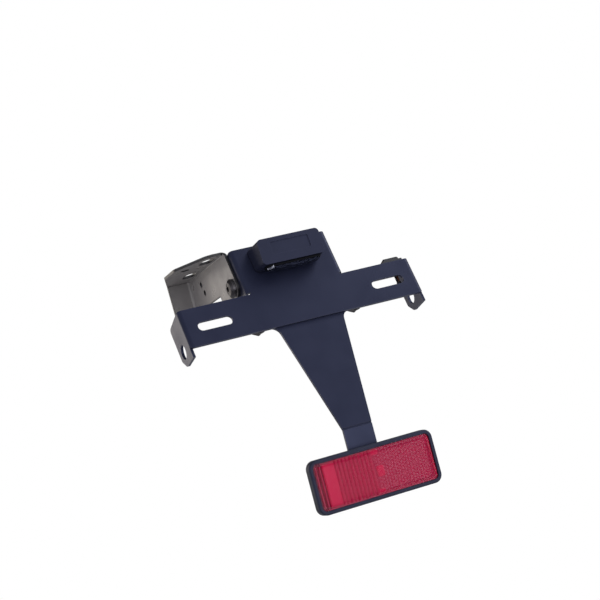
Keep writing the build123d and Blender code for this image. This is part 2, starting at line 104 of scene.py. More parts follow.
@dataclass(frozen=True)
class Slab:
    """A flat part of a folded sheet, between its two faces across one axis. Lengths in millimetres."""

    axis: str
    low: float
    high: float


@dataclass(frozen=True)
class Finish:
    """A material of one piece or more, from what it is made of and how its surface was made."""

    name: str
    colour: str
    shade: str
    roughness: float
    roughness_spread: float = 0.06
    mottle_mm: float = 14.0
    metallic: float = 0.0
    ior: float = 1.5
    coat: float = 0.0
    coat_roughness: float = 0.1
    alpha: float = 1.0
    glint: str = "#ffffff"
    grain: Grain = Grain.PEEL
    grain_mm: float = 1.4
    grain_depth_mm: float = 0.01
    edge: Optional[str] = None
    edge_mm: float = 0.5
    cut_sheets: tuple[Slab, ...] = ()

    def material(self) -> bpy.types.Material:
        """Make the Blender material.

        Returns:
            A material with a Principled shader, whose colour, roughness and relief vary on Object coordinates.
        """
        made = bpy.data.materials.new(self.name)
        made.use_nodes = True
        tree = made.node_tree
        shader = tree.nodes["Principled BSDF"]
        constants = {
            "Metallic": self.metallic, "IOR": self.ior, "Coat Weight": self.coat,
            "Coat Roughness": self.coat_roughness, "Alpha": self.alpha, "Specular Tint": linear(self.glint),
        }
        for socket, value in constants.items():
            shader.inputs[socket].default_value = value
        place = add_node(tree, "ShaderNodeTexCoord").outputs["Object"]
        cloud = add_node(tree, "ShaderNodeTexNoise", {"Scale": 1.0 / (self.mottle_mm * MM), "Detail": 4.0},
                         {"Vector": place}).outputs["Fac"]
        tone = add_node(tree, "ShaderNodeMix", {"A": linear(self.colour), "B": linear(self.shade)},
                        {"Factor": cloud}, data_type="RGBA").outputs["Result"]
        # Edge colour: wear on some finishes, partly painted highlight on the carrier, painted shade on the brackets.
        if self.edge:
            tone = self._edge_wear_and_painted_light(tree, tone)
        # Painted shade on the brackets' cut edges.
        for slab in self.cut_sheets:
            tone = self._painted_shade_on_cuts(tree, place, tone, slab)
        tree.links.new(tone, shader.inputs["Base Color"])
        gloss = add_node(tree, "ShaderNodeMapRange", {
            "From Min": 0.3, "From Max": 0.7, "To Min": self.roughness - self.roughness_spread,
            "To Max": self.roughness + self.roughness_spread}, {"Value": cloud})
        tree.links.new(gloss.outputs["Result"], shader.inputs["Roughness"])
        tree.links.new(self._relief(tree, place), shader.inputs["Normal"])
        return made

    def _edge_wear_and_painted_light(self, tree: bpy.types.NodeTree, tone: bpy.types.NodeSocket) -> bpy.types.NodeSocket:
        """Change the tone along sharp edges: wear where a coat is rubbed thin, a partly painted highlight on the
        carrier and painted shade on the brackets.

        Args:
            tree: The material's node tree.
            tone: The colour away from the edges.

        Returns:
            The colour with its edges.
        """
        round_off = add_node(tree, "ShaderNodeBevel", {"Radius": self.edge_mm * MM}, samples=4)
        flat = add_node(tree, "ShaderNodeNewGeometry")
        same = add_node(tree, "ShaderNodeVectorMath",
                        links={0: round_off.outputs["Normal"], 1: flat.outputs["Normal"]}, operation="DOT_PRODUCT")
        part = add_node(tree, "ShaderNodeMapRange", {
            "From Min": FLAT_COSINE, "From Max": SHARP_COSINE, "To Max": EDGE_COVER}, {"Value": same.outputs["Value"]})
        return add_node(tree, "ShaderNodeMix", {"B": linear(self.edge)},
                        {"Factor": part.outputs["Result"], "A": tone}, data_type="RGBA").outputs["Result"]

    def _painted_shade_on_cuts(self, tree: bpy.types.NodeTree, place: bpy.types.NodeSocket, tone: bpy.types.NodeSocket,
             slab: Slab) -> bpy.types.NodeSocket:
        """Put the edge colour, painted shade, on a sheet's cut edges: what lies in its thickness and faces along it.

        Args:
            tree: The material's node tree.
            place: Object coordinates.
            tone: The colour away from the cuts.
            slab: The flat part whose outline and holes were cut.

        Returns:
            The colour with the cuts.
        """
        depth = add_node(tree, "ShaderNodeSeparateXYZ", links={0: place}).outputs[slab.axis]
        middle, half = (slab.low + slab.high) / 2, (slab.high - slab.low) / 2
        inside = add_node(tree, "ShaderNodeMath", {1: middle * MM, 2: half * MM}, {0: depth},
                          operation="COMPARE").outputs["Value"]
        normal = add_node(tree, "ShaderNodeTexCoord").outputs["Normal"]
        facing = add_node(tree, "ShaderNodeSeparateXYZ", links={0: normal}).outputs[slab.axis]
        along = add_node(tree, "ShaderNodeMath", {1: 0.0, 2: CUT_SINE}, {0: facing},
                         operation="COMPARE").outputs["Value"]
        both = add_node(tree, "ShaderNodeMath", links={0: inside, 1: along}, operation="MULTIPLY").outputs["Value"]
        return add_node(tree, "ShaderNodeMix", {"B": linear(self.edge)}, {"Factor": both, "A": tone},
                        data_type="RGBA").outputs["Result"]

    def _relief(self, tree: bpy.types.NodeTree, place: bpy.types.NodeSocket) -> bpy.types.NodeSocket:
        """Make a fine bump, its grain in real millimetres.

        Args:
            tree: The material's node tree.
            place: Object coordinates.

        Returns:
            The bumped normal.
        """
        scale = 1.0 / (self.grain_mm * MM)
        if self.grain is Grain.PEEL:
            height = add_node(tree, "ShaderNodeTexNoise", {"Scale": scale, "Detail": 1.0},
                              {"Vector": place}).outputs["Fac"]
        else:
            kind = "F1" if self.grain is Grain.SPARK else "SMOOTH_F1"
            height = add_node(tree, "ShaderNodeTexVoronoi", {"Scale": scale}, {"Vector": place},
                              feature=kind).outputs["Distance"]
        bump = add_node(tree, "ShaderNodeBump", {"Strength": 0.6, "Distance": self.grain_depth_mm * MM},
                        {"Height": height})
        return bump.outputs["Normal"]


# Steel sheet under a satin black powder coat: dark, faintly blue, with a soft orange peel and a pale sheen where
# it is seen at a low angle. Its cut edges are greyer: partly a thinner coat, partly a painted highlight. Real peel
# is near 0.5 mm and is drawn coarser so that it shows.
POWDER_COAT = Finish("black_powder_coated_steel", "#171a2a", "#1c1f30", 0.38, glint="#bcc6f6", edge="#4a4a55",
                     mottle_mm=22.0)
# The flat parts of the brackets: roofs, left wall, right wall and end flanges, whose cut edges take painted shade.
BRACKET_SHEETS = (Slab("Z", 49.8, 51.8), Slab("X", -40.25, -38.25), Slab("X", 34.25, 36.25), Slab("Y", 113.0, 115.0))
# The brackets' coat: a thin black-grey dip over steel, so it is lighter, warmer and uneven. Its cut edges and the
# rims of its holes are painted darker: painted shade.
BRACKET_COAT = Finish("black_dipped_steel", "#82807d", "#706c6e", 0.34, roughness_spread=0.08, edge="#121216",
                      edge_mm=1.6, mottle_mm=9.0, cut_sheets=BRACKET_SHEETS)
# Steel with a black zinc plating: dark metal with fine crystals and bright rubbed edges.
BLACK_ZINC = Finish("black_zinc_plated_steel", "#4a484a", "#333236", 0.32, metallic=0.85, mottle_mm=3.0,
                    grain=Grain.CRYSTAL, grain_mm=0.5, grain_depth_mm=0.006, edge="#8a8784", edge_mm=0.3)
# Moulded ABS from a spark-eroded tool: dull black with a fine sparkle. Grit is drawn coarser to show.
LAMP_ABS = Finish("black_moulded_abs", "#1a1c2c", "#161824", 0.5, glint="#bcc6f6", grain=Grain.SPARK, grain_mm=0.8,
                  grain_depth_mm=0.02, edge="#34364a", edge_mm=0.4)
# Polypropylene tray, moulded: dull black with faint flow marks. Grit is drawn coarser to show.
TRAY_PLASTIC = Finish("black_moulded_polypropylene", "#1e2029", "#181920", 0.55, glint="#c4ccff",
                      grain=Grain.SPARK, grain_mm=0.7, mottle_mm=8.0)
# Foam and rubber: dull black and slightly dusty.
SOFT_BLACK = Finish("black_epdm_rubber", "#090a0f", "#0e0f14", 0.75, ior=1.2, grain=Grain.SPARK, grain_mm=0.9,
                    grain_depth_mm=0.04, mottle_mm=5.0)
# Clear polycarbonate over the lamp's dark inside, coloured dark and half opaque as painted shade of that inside, so it
# shows mostly by its highlights.
CLEAR_POLYCARBONATE = Finish("clear_polycarbonate", "#11131f", "#171a28", 0.06, roughness_spread=0.02, ior=1.4,
                             alpha=0.5, glint="#bcc6f6", grain_mm=3.0, grain_depth_mm=0.03)
# The clear lens's moulded prisms: their pale colour is a painted highlight for the sparkle of their faces.
PRISM_PAINTED_HIGHLIGHT = Finish("clear_prism_painted_highlight", "#9fa4b4", "#c9ccd6", 0.12, roughness_spread=0.05, ior=1.58,
                     coat=0.6, coat_roughness=0.03, alpha=0.75, mottle_mm=1.5, grain_mm=1.0, grain_depth_mm=0.1)
# Black solder mask on glass-fibre board: satin, with a faint weave of small grains.
BLACK_BOARD = Finish("black_circuit_board", "#14161c", "#1a1d24", 0.4, mottle_mm=2.0, grain=Grain.CRYSTAL,
                     grain_mm=0.6)
# Diode faces under yellow phosphor: a dull grey yellow while the lamp is off.
DIODE_PHOSPHOR = Finish("diode_phosphor", "#6a6656", "#575244", 0.4, mottle_mm=1.0, grain=Grain.CRYSTAL,
                        grain_mm=0.4)
# PVC wire insulation: soft gloss, slightly rippled by its extruder.
BLACK_PVC = Finish("black_pvc_insulation", "#1d1d20", "#26262a", 0.42, grain_mm=2.0, mottle_mm=6.0)
BROWN_PVC = Finish("brown_pvc_insulation", "#6b3a22", "#54301f", 0.42, grain_mm=2.0, mottle_mm=6.0)
# Nylon plug body: satin black.
PLUG_NYLON = Finish("black_moulded_nylon", "#1e1f26", "#18191f", 0.42, grain=Grain.SPARK, grain_mm=0.6,
                    edge="#4c4c50", edge_mm=0.3, mottle_mm=4.0)
# Red acrylic, moulded with a polished front: a clear deep red over what lies behind it.
RED_ACRYLIC = Finish("red_acrylic", "#c81844", "#b8143c", 0.12, roughness_spread=0.04, ior=1.37,
                     alpha=0.3, grain_mm=6.0, grain_depth_mm=0.02)
# The acrylic's plain fields, seen through the lens: bright red with little gloss of their own.
RED_FACETS = Finish("red_acrylic_facets", "#e01e58", "#d01a4c", 0.34, ior=1.15, mottle_mm=6.0, grain_mm=2.0)
# Its flutes spread the light sideways, so less of it comes back: a shade darker.
RED_FLUTES = Finish("red_acrylic_flutes", "#c21c50", "#b41846", 0.4, ior=1.15, mottle_mm=6.0, grain_mm=2.0)
# Its corner facets have air behind them, so they sparkle and look paler.
RED_CORNERS = Finish("red_acrylic_corner_facets", "#cc5a7c", "#bc5070", 0.5, ior=1.18, mottle_mm=4.0, grain_mm=2.0)
# The same acrylic between its facets, where it sends little light back: deep red.
RED_DEPTH = Finish("red_acrylic_depth", "#b41e4e", "#a01a46", 0.3, ior=1.2, mottle_mm=5.0, grain_mm=2.0)


class Wardrobe:
    """Keeps one Blender material for each finish."""

    def __init__(self) -> None:
        """Start with no material made."""
        self._made: dict[str, bpy.types.Material] = {}

    def get(self, finish: Finish) -> bpy.types.Material:
        """Give the finish's material, made once.

        Args:
            finish: The finish that a piece or a node takes.

        Returns:
            Its Blender material.
        """
        if finish.name not in self._made:
            self._made[finish.name] = finish.material()
        return self._made[finish.name]

    def dress(self, nodes: Mapping[str, bpy.types.Object], finish: Finish, names: Iterable[str]) -> None:
        """Put one finish on CAD nodes.

        Args:
            nodes: CAD nodes by name.
            finish: The finish they all take.
            names: The nodes to dress.
        """
        for name in names:
            slots = nodes[name].data.materials
            slots.clear()
            slots.append(self.get(finish))
            LOG.info("node %s takes %s", name, finish.name)


class NodeTreeBuilder:
    """A Geometry Nodes tree with named inputs that ends in Realize Instances and Set Material."""

    def __init__(self, name: str, inputs: Mapping[str, str]) -> None:
        """Make the tree with its inputs.

        Args:
            name: Name of the tree.
            inputs: Input name to Blender's socket type.
        """
        self.tree = bpy.data.node_groups.new(name, "GeometryNodeTree")
        face = self.tree.interface
        face.new_socket("Geometry", in_out="INPUT", socket_type="NodeSocketGeometry")
        face.new_socket("Geometry", in_out="OUTPUT", socket_type="NodeSocketGeometry")
        self.identifiers = {
            label: face.new_socket(label, in_out="INPUT", socket_type=kind).identifier
            for label, kind in {**inputs, "Material": "NodeSocketMaterial"}.items()
        }
        self.start = add_node(self.tree, "NodeGroupInput")

    def close(self, geometry: bpy.types.NodeSocket) -> None:
        """End the tree.

        Args:
            geometry: Output that carries the instances.
        """
        real = add_node(self.tree, "GeometryNodeRealizeInstances", links={"Geometry": geometry})
        dressed = add_node(self.tree, "GeometryNodeSetMaterial",
                           links={"Geometry": real.outputs["Geometry"], "Material": self.start.outputs["Material"]})
        add_node(self.tree, "NodeGroupOutput", links={"Geometry": dressed.outputs["Geometry"]})

    def piece(self, name: str, place: Matrix, values: Mapping[str, Any]) -> bpy.types.Object:
        """Run the tree with its inputs and keep the result as a plain mesh in the row frame.

        Args:
            name: Name of the new piece.
            place: Matrix from the tree's own frame to the row frame, in metres.
            values: Input name to value.

        Returns:
            The piece, at the origin with its place in its mesh.
        """
        carrier = bpy.data.objects.new(name + "_source", bpy.data.meshes.new(name + "_source"))
        bpy.context.scene.collection.objects.link(carrier)
        modifier = carrier.modifiers.new("shape", "NODES")
        modifier.node_group = self.tree
        for label, value in values.items():
            modifier[self.identifiers[label]] = value
        bpy.context.view_layer.update()
        graph = bpy.context.evaluated_depsgraph_get()
        mesh = bpy.data.meshes.new_from_object(carrier.evaluated_get(graph), depsgraph=graph)
        bpy.data.objects.remove(carrier)
        mesh.name = name
        mesh.transform(place)
        made = bpy.data.objects.new(name, mesh)
        bpy.context.scene.collection.objects.link(made)
        return made


def rib_row() -> NodeTreeBuilder:
    """Make the tree of a row of upright half-round ribs, side by side along X.

    Returns:
        The tree with inputs for pitch, rib radius, count, length and rise.
    """
    kinds = {"Pitch": "NodeSocketFloat", "Radius": "NodeSocketFloat", "Count": "NodeSocketInt",
             "Length": "NodeSocketFloat", "Rise": "NodeSocketFloat"}
    builder = NodeTreeBuilder("rib_row", kinds)
    tree, given = builder.tree, builder.start.outputs
    spacing = add_node(tree, "ShaderNodeCombineXYZ", links={"X": given["Pitch"]})
    row = add_node(tree, "GeometryNodeMeshLine", links={"Count": given["Count"], "Offset": spacing.outputs[0]},
                   mode="OFFSET", count_mode="TOTAL")
    rib = add_node(tree, "GeometryNodeMeshCylinder", {"Vertices": 12},
                   {"Radius": given["Radius"], "Depth": given["Length"]})
    lower = add_node(tree, "ShaderNodeMath", links={0: given["Rise"], 1: given["Radius"]}, operation="DIVIDE")
    flat = add_node(tree, "ShaderNodeCombineXYZ", {"X": 1.0, "Z": 1.0}, {"Y": lower.outputs[0]})
    turned = add_node(tree, "GeometryNodeTransform", {"Rotation": (math.pi / 2, 0.0, 0.0)},
                      {"Geometry": rib.outputs["Mesh"], "Scale": flat.outputs[0]})
    placed = add_node(tree, "GeometryNodeInstanceOnPoints",
                      links={"Points": row.outputs["Mesh"], "Instance": turned.outputs["Geometry"]})
    builder.close(placed.outputs["Instances"])
    return builder


def keep(piece: bpy.types.Object) -> bpy.types.Object:
    """Fix a piece to the object's one body and log its face count.

    Args:
        piece: The finished piece.

    Returns:
        The same piece.
    """
    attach(piece, BODY)
    LOG.info("piece %s has %d faces", piece.name, len(piece.data.polygons))
    return piece


@dataclass(frozen=True)
class PlateFrame:
    """The leaning frame that the plate carrier and its pieces are built in, in millimetres and degrees."""

    lean: float = 18.0
    sheet: float = 2.0
    tab_bend_below: float = 100.5
    tab_bend: float = 22.0

    def plate(self) -> Matrix:
        """Matrix from the plate frame to the row frame."""
        return Matrix.Rotation(math.radians(-self.lean), 4, "X")

    def tab(self) -> Matrix:
        """Matrix from the arm's tab, upright about its bend, to the row frame."""
        shift = Matrix.Translation((0, self.sheet * MM, -self.tab_bend_below * MM))
        return self.plate() @ shift @ Matrix.Rotation(math.radians(self.tab_bend), 4, "X")


@dataclass
class SheetWork:
    """The folded sheet pieces: carrier, reflector arm and mount brackets."""

    carrier: tuple[str, ...] = ("plate_carrier", "reflector_arm")
    brackets: tuple[str, ...] = ("left_mount_bracket", "right_mount_bracket")

    def dress(self, nodes: Mapping[str, bpy.types.Object], wardrobe: Wardrobe) -> None:
        """Put the powder coat on the carrier's sheets and its greyer kind on the brackets."""
        wardrobe.dress(nodes, POWDER_COAT, self.carrier)
        wardrobe.dress(nodes, BRACKET_COAT, self.brackets)


@dataclass
class Fasteners:
    """Bolts, studs, nuts, washers and screws, with the threads that stand past the nuts. Sizes in millimetres."""

    frame: PlateFrame
    names: tuple[str, ...] = (
        "bracket_bolts", "bracket_washers", "bracket_nuts", "arm_studs", "arm_washers", "arm_nuts",
        "lamp_screws", "lamp_washers", "reflector_stud", "reflector_washer", "reflector_nut",
    )
    thread_radius: float = 3.0
    thread_pitch: float = 1.0
    thread_length: float = 1.5
    crest_share: float = 0.4
    sunk_share: float = 0.35
    washer: float = 1.2
    nut: float = 5.0
    panel_half: float = 38.25
    pivot_forward: float = 13.5
    pivot_above: float = 29.2
    stud_spacing: float = 76.0
    stud_below: float = 8.0
    reflector_down: float = 33.2

    def dress(self, nodes: Mapping[str, bpy.types.Object], wardrobe: Wardrobe) -> None:
        """Put black zinc on every fastener."""
        wardrobe.dress(nodes, BLACK_ZINC, self.names)

    def _thread_tree(self) -> NodeTreeBuilder:
        """Make the tree of one helical thread that climbs from Z = 0.

        Returns:
            The tree with inputs for its radius, pitch and turns.
        """
        kinds = {"Radius": "NodeSocketFloat", "Pitch": "NodeSocketFloat", "Turns": "NodeSocketFloat"}
        builder = NodeTreeBuilder("helical_thread", kinds)
        tree, given = builder.tree, builder.start.outputs
        rise = add_node(tree, "ShaderNodeMath", links={0: given["Pitch"], 1: given["Turns"]}, operation="MULTIPLY")
        helix = add_node(tree, "GeometryNodeCurveSpiral", {"Resolution": 28},
                         {"Rotations": given["Turns"], "Start Radius": given["Radius"],
                          "End Radius": given["Radius"], "Height": rise.outputs[0]})
        crest = add_node(tree, "ShaderNodeMath", {1: self.crest_share}, {0: given["Pitch"]}, operation="MULTIPLY")
        ridge = add_node(tree, "GeometryNodeCurvePrimitiveCircle", {"Resolution": 4}, {"Radius": crest.outputs[0]})
        tube = add_node(tree, "GeometryNodeCurveToMesh", {"Fill Caps": True},
                        {"Curve": helix.outputs["Curve"], "Profile Curve": ridge.outputs["Curve"]})
        builder.close(tube.outputs["Mesh"])
        return builder

    def _ends(self) -> dict[str, Matrix]:
        """Place each bare thread end: Z runs along the bolt from the nut's outer face.

        Returns:
            Name of each thread to its matrix to the row frame.
        """
        sheet, past = self.frame.sheet, self.washer + self.nut
        turn = {"left": Matrix.Rotation(math.pi / 2, 4, "Y"), "right": Matrix.Rotation(-math.pi / 2, 4, "Y")}
        ahead = Matrix.Rotation(-math.pi / 2, 4, "X")
        inner = {"left": -(self.panel_half - sheet - past), "right": self.panel_half - 2 * sheet - past}
        plate, tab = self.frame.plate(), self.frame.tab()
        ends = {
            f"{side}_bracket_thread": plate @ Matrix.Translation(
                Vector((inner[side], self.pivot_forward, self.pivot_above)) * MM) @ turn[side]
            for side in inner
        }
        for side, hand in (("left", -1), ("right", 1)):
            spot = Vector((hand * self.stud_spacing / 2, 2 * sheet + past, -self.stud_below)) * MM
            ends[f"{side}_arm_thread"] = plate @ Matrix.Translation(spot) @ ahead
        spot = Vector((0, sheet + past, -self.reflector_down)) * MM
        ends["reflector_thread"] = tab @ Matrix.Translation(spot) @ ahead
        return ends

    def build(self, wardrobe: Wardrobe) -> None:
        """Wind a thread on each bare bolt end.

        Args:
            wardrobe: Where the threads' material comes from.
        """
        builder = self._thread_tree()
        for name, place in self._ends().items():
            keep(builder.piece(name, place, {
                "Radius": (self.thread_radius - self.sunk_share * self.thread_pitch) * MM,
                "Pitch": self.thread_pitch * MM, "Turns": self.thread_length / self.thread_pitch,
                "Material": wardrobe.get(BLACK_ZINC),
            }))


@dataclass
class PlateLamp:
    """Lamp over the plate: hood, back plate, gasket, clear lens, board and diodes. Sizes in millimetres."""

    frame: PlateFrame
    root: float = 30.0
    tilt: float = 12.0
    window_width: float = 41.4
    window_front: float = 14.4
    window_back: float = 6.2
    window_corner: float = 3.0
    # The black bead round the lens is painted shade under the hood's lip.
    shade_bead_radius: float = 0.9
    shade_bead_below: float = 0.8
    prism_from_end: float = 0.2
    prism_from_front: float = 2.2
    prism_pitch: float = 1.1
    prism_share: float = 0.4
    prism_rise: float = 0.5
    prism_count: int = 5
    prism_turn: float = -38.0
    prism_length: float = 1.9
    prism_middle: float = 1.85

    def dress(self, nodes: Mapping[str, bpy.types.Object], wardrobe: Wardrobe) -> None:
        """Put each lamp piece in its own material.

        Args:
            nodes: CAD nodes by name.
            wardrobe: Where the materials come from.
        """
        wardrobe.dress(nodes, LAMP_ABS, ("lamp_housing", "lamp_base"))
        wardrobe.dress(nodes, SOFT_BLACK, ("lamp_gasket",))
        wardrobe.dress(nodes, CLEAR_POLYCARBONATE, ("lamp_lens",))
        wardrobe.dress(nodes, BLACK_BOARD, ("lamp_board",))
        wardrobe.dress(nodes, DIODE_PHOSPHOR, ("lamp_leds",))

    def _place(self) -> Matrix:
        """Matrix from the lamp's own upright frame to the row frame."""
        shift = Matrix.Translation((0, 0, self.root * MM))
        return self.frame.plate() @ shift @ Matrix.Rotation(math.radians(self.tilt), 4, "X")

    def _shade_bead_tree(self) -> NodeTreeBuilder:
        """Make the tree of a round bead that runs round a rectangle with rounded corners.

        Returns:
            The tree with inputs for the rectangle's width and depth, its corners and the bead's radius.
        """
        builder = NodeTreeBuilder("lens_shade_bead", {label: "NodeSocketFloat" for label in (
            "Width", "Depth", "Corner", "Radius")})
        tree, given = builder.tree, builder.start.outputs
        plan = add_node(tree, "GeometryNodeCurvePrimitiveQuadrilateral",
                        links={"Width": given["Width"], "Height": given["Depth"]})
        path = add_node(tree, "GeometryNodeFilletCurve", {"Count": 6},
                        {"Curve": plan.outputs["Curve"], "Radius": given["Corner"]}, mode="POLY")
        ring = add_node(tree, "GeometryNodeCurvePrimitiveCircle", {"Resolution": 10}, {"Radius": given["Radius"]})
        bead = add_node(tree, "GeometryNodeCurveToMesh",
                        links={"Curve": path.outputs["Curve"], "Profile Curve": ring.outputs["Curve"]})
        builder.close(bead.outputs["Mesh"])
        return builder

    def build(self, wardrobe: Wardrobe) -> None:
        """Lay a black bead round the lens, painted shade under the hood's lip, and mould the prisms at its left end.

        Args:
            wardrobe: Where their materials come from.
        """
        # Painted shade: a black bead round the lens, under the hood's lip.
        middle = -(self.window_front + self.window_back) / 2
        spot = Matrix.Translation(Vector((0, middle, -self.shade_bead_below)) * MM)
        keep(self._shade_bead_tree().piece("lens_shade_bead", self._place() @ spot, {
            "Width": self.window_width * MM, "Depth": (self.window_front - self.window_back) * MM,
            "Corner": self.window_corner * MM, "Radius": self.shade_bead_radius * MM,
            "Material": wardrobe.get(SOFT_BLACK),
        }))
        # Prisms at the lens's left end, pale as a painted highlight.
        end = Vector((self.prism_from_end - self.window_width / 2, self.prism_from_front - self.window_front,
                      -self.prism_middle))
        spot = Matrix.Translation(end * MM)
        turn = Matrix.Rotation(math.radians(self.prism_turn), 4, "Z") @ Matrix.Rotation(math.pi / 2, 4, "X")
        keep(rib_row().piece("lens_prisms", self._place() @ spot @ turn, {
            "Pitch": self.prism_pitch * MM, "Radius": self.prism_share * self.prism_pitch * MM,
            "Count": self.prism_count, "Length": self.prism_length * MM, "Rise": self.prism_rise * MM,
            "Material": wardrobe.get(PRISM_PAINTED_HIGHLIGHT),
        }))


@dataclass
class LampLead:
    """Lead from the lamp to its plug behind the bar, with X of the plane between its cores in millimetres."""

    core_middle: float = 80.5

    def dress(self, nodes: Mapping[str, bpy.types.Object], wardrobe: Wardrobe) -> None:
        """Put the lead's pieces in rubber, PVC and nylon, with one brown core and one black core.

        Args:
            nodes: CAD nodes by name.
            wardrobe: Where the materials come from.
        """
        wardrobe.dress(nodes, SOFT_BLACK, ("lead_grommet",))
        wardrobe.dress(nodes, BLACK_PVC, ("lamp_lead", "lead_cores"))
        wardrobe.dress(nodes, PLUG_NYLON, ("lead_plug", "plug_saddle"))
        mesh = nodes["lead_cores"].data
        mesh.materials.append(wardrobe.get(BROWN_PVC))
        for face in mesh.polygons:
            face.material_index = int(face.center.x > self.core_middle * MM)


@dataclass(frozen=True)
class Patch:
    """A rectangle on the lens, from its middle to the right and up, in millimetres."""

    left: float
    right: float
    low: float
    high: float


@dataclass
class Reflector:
    """Red reflector: tray, lens and the optical facets inside the lens. Sizes in millimetres on the tab's frame."""

    frame: PlateFrame
    centre_down: float = 33.2
    facet_floor: float = 9.3
    backing: float = 0.4
    plain_rise: float = 1.35
    field: Patch = Patch(-37.8, 44.4, -15.7, 15.6)
    plain: tuple[Patch, ...] = (
        Patch(-37.6, -28.6, -14.6, 14.4), Patch(1.2, 6.6, -3.8, 3.6), Patch(-1.0, 5.0, 11.4, 15.0),
        Patch(-1.6, 4.0, -15.0, -12.0), Patch(43.4, 44.3, -14.0, 13.8))
    # Pale strips on the lens's left bevel and along its bottom: painted highlights.
    bevel_painted_highlights: tuple[Patch, ...] = (
        Patch(-42.6, -42.0, -14.4, 14.2), Patch(-39.7, -39.1, -14.0, 13.8), Patch(-40.0, 43.0, -16.0, -15.4))
    flutes: Patch = Patch(-28.5, 0.0, -15.3, 15.2)
    flute_pitch: float = 2.85
    flute_share: float = 0.8
    flute_rise: float = 1.3
    corners: Patch = Patch(0.4, 43.4, -15.4, 14.8)
    corner_pitch: float = 2.3
    corner_share: float = 0.52
    corner_rise: float = 0.9

    def dress(self, nodes: Mapping[str, bpy.types.Object], wardrobe: Wardrobe) -> None:
        """Put the tray in black plastic and the lens in clear red acrylic."""
        wardrobe.dress(nodes, TRAY_PLASTIC, ("reflector_frame",))
        wardrobe.dress(nodes, RED_ACRYLIC, ("reflector_lens",))

    def _floor(self, across: float, above: float) -> Matrix:
        """Matrix of the facets' floor: X across, Y up the lens, Z towards the viewer.

        Args:
            across: Distance of the frame's middle to the right of the lens's middle.
            above: Its distance above the lens's middle.

        Returns:
            The matrix to the row frame, in metres.
        """
        spot = Matrix.Translation(Vector((across, -self.facet_floor, above - self.centre_down)) * MM)
        return self.frame.tab() @ spot @ Matrix.Rotation(math.pi / 2, 4, "X")

    def _cube_tree(self) -> NodeTreeBuilder:
        """Make the tree of a field of three-sided corner facets in staggered columns.

        Returns:
            The tree with inputs for pitch, facet radius, columns, rows and rise.
        """
        kinds = {"Pitch": "NodeSocketFloat", "Radius": "NodeSocketFloat", "Columns": "NodeSocketInt",
                 "Rows": "NodeSocketInt", "Rise": "NodeSocketFloat"}
        builder = NodeTreeBuilder("corner_facets", kinds)
        tree, given = builder.tree, builder.start.outputs
        spans = {}
        for side in ("Columns", "Rows"):
            gaps = add_node(tree, "ShaderNodeMath", {1: 1.0}, {0: given[side]}, operation="SUBTRACT")
            spans[side] = add_node(tree, "ShaderNodeMath", links={0: gaps.outputs[0], 1: given["Pitch"]},
                                   operation="MULTIPLY")
        grid = add_node(tree, "GeometryNodeMeshGrid", links={
            "Size X": spans["Columns"].outputs[0], "Size Y": spans["Rows"].outputs[0],
            "Vertices X": given["Columns"], "Vertices Y": given["Rows"]})
        number = add_node(tree, "GeometryNodeInputIndex")
        ratio = add_node(tree, "ShaderNodeMath", links={0: number.outputs[0], 1: given["Rows"]}, operation="DIVIDE")
        column = add_node(tree, "ShaderNodeMath", links={0: ratio.outputs[0]}, operation="FLOOR")
        odd = add_node(tree, "ShaderNodeMath", {1: 2.0}, {0: column.outputs[0]}, operation="MODULO")
        half = add_node(tree, "ShaderNodeMath", {1: 0.5}, {0: given["Pitch"]}, operation="MULTIPLY")
        stagger = add_node(tree, "ShaderNodeMath", links={0: odd.outputs[0], 1: half.outputs[0]},
                           operation="MULTIPLY")
        shift = add_node(tree, "ShaderNodeCombineXYZ", links={"Y": stagger.outputs[0]})
        spots = add_node(tree, "GeometryNodeSetPosition",
                         links={"Geometry": grid.outputs["Mesh"], "Offset": shift.outputs[0]})
        corner = add_node(tree, "GeometryNodeMeshCone", {"Vertices": 3, "Radius Top": 0.0},
                          {"Radius Bottom": given["Radius"], "Depth": given["Rise"]})
        placed = add_node(tree, "GeometryNodeInstanceOnPoints",
                          links={"Points": spots.outputs["Geometry"], "Instance": corner.outputs["Mesh"]})
        builder.close(placed.outputs["Instances"])
        return builder

    def _plates(self, name: str, patches: Iterable[Patch], low: float, high: float,
                material: bpy.types.Material) -> None:
        """Lay plates with eased edges over the floor.

        Args:
            name: Name of the piece that they make up.
            patches: Outline of each plate.
            low: Their foot above the floor.
            high: Their top above the floor.
            material: The finish they all take.
        """
        shape = bmesh.new()
        for patch in patches:
            size = Vector((patch.right - patch.left, patch.high - patch.low, high - low)) * MM
            middle = Vector((patch.left + patch.right, patch.low + patch.high, low + high)) * MM / 2
            block = bmesh.ops.create_cube(shape, size=1.0, matrix=Matrix.LocRotScale(middle, None, size))
            edges = {edge for corner in block["verts"] for edge in corner.link_edges}
            bmesh.ops.bevel(shape, geom=list(edges), offset=min(size) / 3, segments=2, affect="EDGES")
        mesh = bpy.data.meshes.new(name)
        shape.to_mesh(mesh)
        shape.free()
        mesh.transform(self._floor(0.0, 0.0))
        mesh.materials.append(material)
        piece = bpy.data.objects.new(name, mesh)
        bpy.context.scene.collection.objects.link(piece)
        keep(piece)

    def build(self, wardrobe: Wardrobe) -> None:
        """Make the optics inside the lens: deep floor, plain fields, flutes and a field of corner facets.

        Args:
            wardrobe: Where their materials come from.
        """
        red, pale, area = wardrobe.get(RED_FACETS), wardrobe.get(RED_CORNERS), self.flutes
        self._plates("facet_floor", (self.field,), -self.backing, 0.0, wardrobe.get(RED_DEPTH))
        self._plates("plain_fields", self.plain, -self.backing / 2, self.plain_rise, red)
